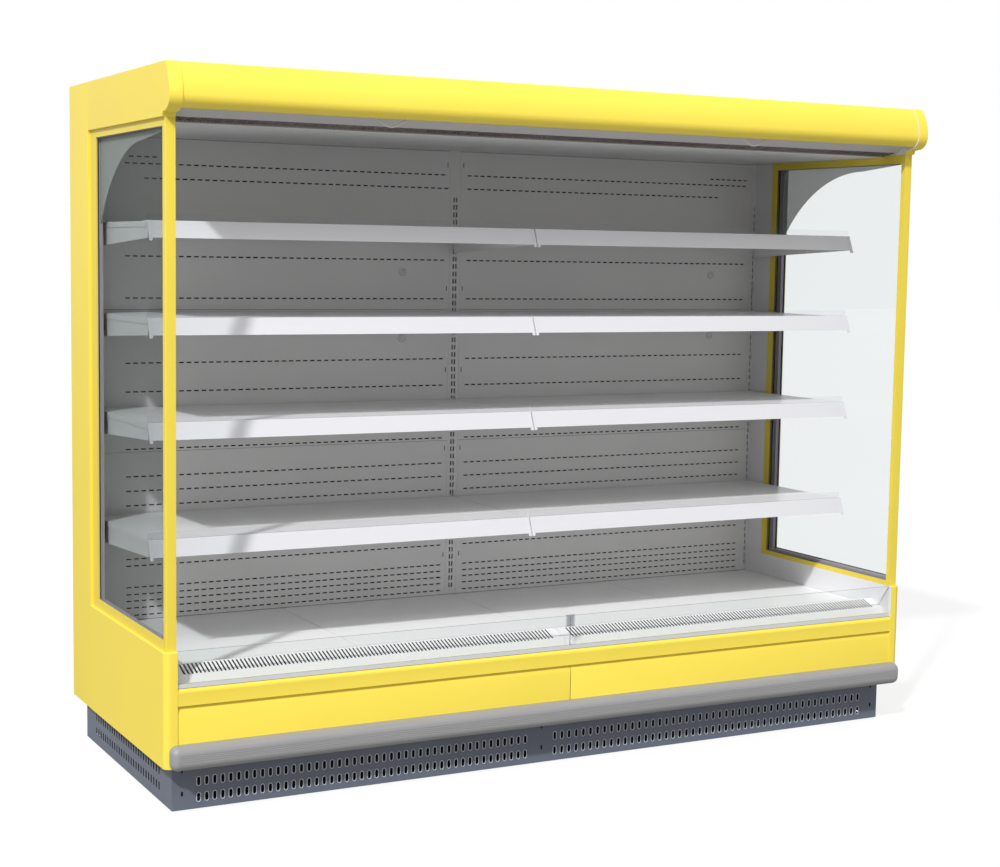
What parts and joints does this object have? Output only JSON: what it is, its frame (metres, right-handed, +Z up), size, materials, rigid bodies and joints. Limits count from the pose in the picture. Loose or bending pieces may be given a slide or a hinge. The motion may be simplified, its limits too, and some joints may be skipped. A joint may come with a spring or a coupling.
{
  "type": "open multideck display fridge",
  "caption": "Open-fronted refrigerated display cabinet with yellow panels, glazed ends, tilting white shelves, lift-out deck, pull-down night blinds and a slotted plinth.",
  "frame": {"origin": "centre of the cabinet's footprint box on the floor plane, under the levelling feet", "axes": "+X to the right seen from the front, +Y from the open front to the rear wall, +Z up"},
  "size_m": [2.575, 1.005, 2.06],
  "materials": {
    "galvanised": "satin",
    "foot": "matte",
    "plinth": "satin",
    "insulated_white": "satin painted sheet over foam",
    "insulated_yellow": "satin painted sheet over foam",
    "yellow_sheet": "satin",
    "glass": "clear",
    "spacer": "matte",
    "gasket": "matte",
    "mask": "matte",
    "diffuser": "frosted",
    "outlet": "matte",
    "white_sheet": "satin",
    "grey_trim": "satin",
    "bumper_grey": "matte",
    "fins": "satin",
    "drain_plastic": "matte",
    "black_steel": "satin",
    "copper": "satin",
    "box_grey": "matte",
    "fan_plastic": "matte",
    "bar_aluminium": "satin",
    "blind_cloth": "matte",
    "roller_aluminium": "satin"
  },
  "bodies": {
    "cabinet": {"base_frame": "galvanised", "levelling_feet": "foot", "plinth_panels": "plinth", "insulated_tub": "insulated_white", "insulated_back_wall": "insulated_white", "insulated_roof": "insulated_white", "left_end_panel": "insulated_yellow", "right_end_panel": "insulated_yellow", "left_window_frame": "yellow_sheet", "right_window_frame": "yellow_sheet", "left_window_glass": "glass", "right_window_glass": "glass", "glazing_spacers": "spacer", "glazing_gaskets": "gasket", "corner_masks": "mask", "canopy_shell": "yellow_sheet", "canopy_frame": "galvanised", "canopy_lamp": "diffuser", "air_outlet": "outlet", "ceiling_panel": "white_sheet", "shelf_uprights": "white_sheet", "left_rear_panels": "white_sheet", "right_rear_panels": "white_sheet", "riser_glass": "glass", "riser_rail": "grey_trim", "fascia_strip": "yellow_sheet", "kick_panels": "yellow_sheet", "bumper": "bumper_grey", "tray_bearers": "galvanised", "fan_plate": "galvanised", "evaporator": "fins", "drain": "drain_plastic", "compressor": "black_steel", "condenser": "fins", "refrigerant_circuit": "copper", "control_box": "box_grey"},
    "left_blind": {"left_blind_bar": "bar_aluminium", "left_blind_cloth": "blind_cloth"},
    "left_roller": {"left_blind_roller": "roller_aluminium"},
    "right_blind": {"right_blind_bar": "bar_aluminium", "right_blind_cloth": "blind_cloth"},
    "right_roller": {"right_blind_roller": "roller_aluminium"},
    "left_shelf_1": {"left_shelf_1": "white_sheet"},
    "left_shelf_2": {"left_shelf_2": "white_sheet"},
    "left_shelf_3": {"left_shelf_3": "white_sheet"},
    "left_shelf_4": {"left_shelf_4": "white_sheet"},
    "right_shelf_1": {"right_shelf_1": "white_sheet"},
    "right_shelf_2": {"right_shelf_2": "white_sheet"},
    "right_shelf_3": {"right_shelf_3": "white_sheet"},
    "right_shelf_4": {"right_shelf_4": "white_sheet"},
    "deck_tray_1": {"deck_tray_1": "white_sheet"},
    "deck_tray_2": {"deck_tray_2": "white_sheet"},
    "deck_tray_3": {"deck_tray_3": "white_sheet"},
    "deck_tray_4": {"deck_tray_4": "white_sheet"},
    "left_return_grille": {"left_return_grille": "white_sheet"},
    "right_return_grille": {"right_return_grille": "white_sheet"},
    "evaporator_fan_1": {"evaporator_fan_1": "fan_plastic"},
    "evaporator_fan_2": {"evaporator_fan_2": "fan_plastic"},
    "evaporator_fan_3": {"evaporator_fan_3": "fan_plastic"},
    "condenser_fan": {"condenser_fan": "fan_plastic"}
  },
  "joints": [
    {"name": "left_blind_pull", "type": "slide", "parent": "cabinet", "child": "left_blind", "axis": [0, 0, -1], "range_m": [0, 1.462], "stiffness_N_per_m": 8, "springref_m": -2, "deforming": ["left_blind_cloth"]},
    {"name": "left_blind_roll", "type": "hinge", "parent": "cabinet", "child": "left_roller", "pos_m": [-0.6245, -0.4286, 1.992], "axis": [1, 0, 0], "range_deg": [0, 4090]},
    {"name": "right_blind_pull", "type": "slide", "parent": "cabinet", "child": "right_blind", "axis": [0, 0, -1], "range_m": [0, 1.462], "stiffness_N_per_m": 8, "springref_m": -2, "deforming": ["right_blind_cloth"]},
    {"name": "right_blind_roll", "type": "hinge", "parent": "cabinet", "child": "right_roller", "pos_m": [0.6245, -0.4286, 1.992], "axis": [1, 0, 0], "range_deg": [0, 4090]},
    {"name": "left_shelf_1_tilt", "type": "hinge", "parent": "cabinet", "child": "left_shelf_1", "pos_m": [-0.625, 0.3895, 1.645], "axis": [-1, 0, 0], "range_deg": [0, 15]},
    {"name": "left_shelf_2_tilt", "type": "hinge", "parent": "cabinet", "child": "left_shelf_2", "pos_m": [-0.625, 0.3895, 1.37], "axis": [-1, 0, 0], "range_deg": [0, 15]},
    {"name": "left_shelf_3_tilt", "type": "hinge", "parent": "cabinet", "child": "left_shelf_3", "pos_m": [-0.625, 0.3895, 1.07], "axis": [-1, 0, 0], "range_deg": [0, 15]},
    {"name": "left_shelf_4_tilt", "type": "hinge", "parent": "cabinet", "child": "left_shelf_4", "pos_m": [-0.625, 0.3895, 0.745], "axis": [-1, 0, 0], "range_deg": [0, 15]},
    {"name": "right_shelf_1_tilt", "type": "hinge", "parent": "cabinet", "child": "right_shelf_1", "pos_m": [0.625, 0.3895, 1.645], "axis": [-1, 0, 0], "range_deg": [0, 15]},
    {"name": "right_shelf_2_tilt", "type": "hinge", "parent": "cabinet", "child": "right_shelf_2", "pos_m": [0.625, 0.3895, 1.37], "axis": [-1, 0, 0], "range_deg": [0, 15]},
    {"name": "right_shelf_3_tilt", "type": "hinge", "parent": "cabinet", "child": "right_shelf_3", "pos_m": [0.625, 0.3895, 1.07], "axis": [-1, 0, 0], "range_deg": [0, 15]},
    {"name": "right_shelf_4_tilt", "type": "hinge", "parent": "cabinet", "child": "right_shelf_4", "pos_m": [0.625, 0.3895, 0.745], "axis": [-1, 0, 0], "range_deg": [0, 15]},
    {"name": "deck_tray_1_lift", "type": "slide", "parent": "cabinet", "child": "deck_tray_1", "axis": [0, 0, 1], "range_m": [0, 0.12]},
    {"name": "deck_tray_2_lift", "type": "slide", "parent": "cabinet", "child": "deck_tray_2", "axis": [0, 0, 1], "range_m": [0, 0.12]},
    {"name": "deck_tray_3_lift", "type": "slide", "parent": "cabinet", "child": "deck_tray_3", "axis": [0, 0, 1], "range_m": [0, 0.12]},
    {"name": "deck_tray_4_lift", "type": "slide", "parent": "cabinet", "child": "deck_tray_4", "axis": [0, 0, 1], "range_m": [0, 0.12]},
    {"name": "left_return_grille_lift", "type": "slide", "parent": "cabinet", "child": "left_return_grille", "axis": [0, 0, 1], "range_m": [0, 0.08]},
    {"name": "right_return_grille_lift", "type": "slide", "parent": "cabinet", "child": "right_return_grille", "axis": [0, 0, 1], "range_m": [0, 0.08]},
    {"name": "evaporator_fan_1_spin", "type": "hinge", "parent": "cabinet", "child": "evaporator_fan_1", "pos_m": [-0.83, -0.1395, 0.292], "axis": [0, 1, 0], "continuous": true},
    {"name": "evaporator_fan_2_spin", "type": "hinge", "parent": "cabinet", "child": "evaporator_fan_2", "pos_m": [0, -0.1395, 0.292], "axis": [0, 1, 0], "continuous": true},
    {"name": "evaporator_fan_3_spin", "type": "hinge", "parent": "cabinet", "child": "evaporator_fan_3", "pos_m": [0.83, -0.1395, 0.292], "axis": [0, 1, 0], "continuous": true},
    {"name": "condenser_fan_spin", "type": "hinge", "parent": "cabinet", "child": "condenser_fan", "pos_m": [0.55, -0.1795, 0.099], "axis": [0, 1, 0], "continuous": true}
  ],
  "couplings": [
    {"joint": "left_blind_roll", "follows": "left_blind_pull", "rad_per_m": 48.544},
    {"joint": "right_blind_roll", "follows": "right_blind_pull", "rad_per_m": 48.544}
  ]
}
